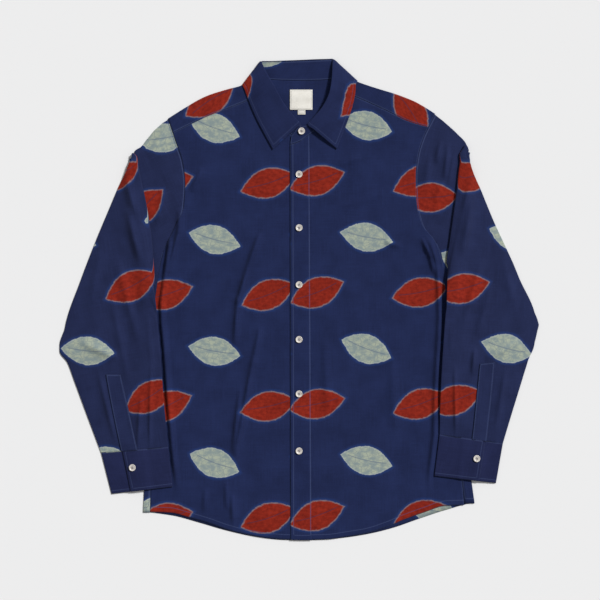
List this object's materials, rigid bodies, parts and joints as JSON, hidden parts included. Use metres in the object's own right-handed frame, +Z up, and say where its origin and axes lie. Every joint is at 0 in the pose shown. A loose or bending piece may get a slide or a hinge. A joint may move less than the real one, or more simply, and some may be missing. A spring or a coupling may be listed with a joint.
{
  "type": "long-sleeve shirt",
  "caption": "Long-sleeve buttoned shirt laid flat, with a turned-down collar, a front placket, folded sleeves and buttoned cuffs.",
  "frame": {"origin": "middle of the bounding box's underside, on the surface that the shirt lies on", "axes": "+Z up off the surface, +Y towards the collar, +X towards the wearer's left sleeve"},
  "size_m": [0.7867, 0.7948, 0.0148],
  "materials": {
    "back cloth": "printed indigo cotton",
    "yoke cloth": "printed indigo cotton",
    "right front cloth": "printed indigo cotton",
    "left front cloth": "printed indigo cotton",
    "placket cloth": "printed indigo cotton",
    "sleeve cloth": "printed indigo cotton",
    "sleeve placket cloth": "printed indigo cotton",
    "cuff cloth": "printed indigo cotton",
    "collar cloth": "printed indigo cotton",
    "label cloth": "bare off-white woven tape",
    "button shell": "shell-like, glossy"
  },
  "bodies": {
    "root": {"back": "back cloth", "yoke": "yoke cloth", "front_right": "right front cloth", "front_left": "left front cloth", "placket": "placket cloth", "sleeve_right": "sleeve cloth", "sleeve_left": "sleeve cloth", "sleeve_placket_right": "sleeve placket cloth", "sleeve_placket_left": "sleeve placket cloth", "cuff_right": "cuff cloth", "cuff_left": "cuff cloth", "collar_stand": "collar cloth", "collar_leaf": "collar cloth", "label": "label cloth", "label_tab": "label cloth", "button_stand": "button shell", "button_front_1": "button shell", "button_front_2": "button shell", "button_front_3": "button shell", "button_front_4": "button shell", "button_front_5": "button shell", "button_front_6": "button shell", "button_cuff_right": "button shell", "button_cuff_left": "button shell"}
  },
  "joints": []
}
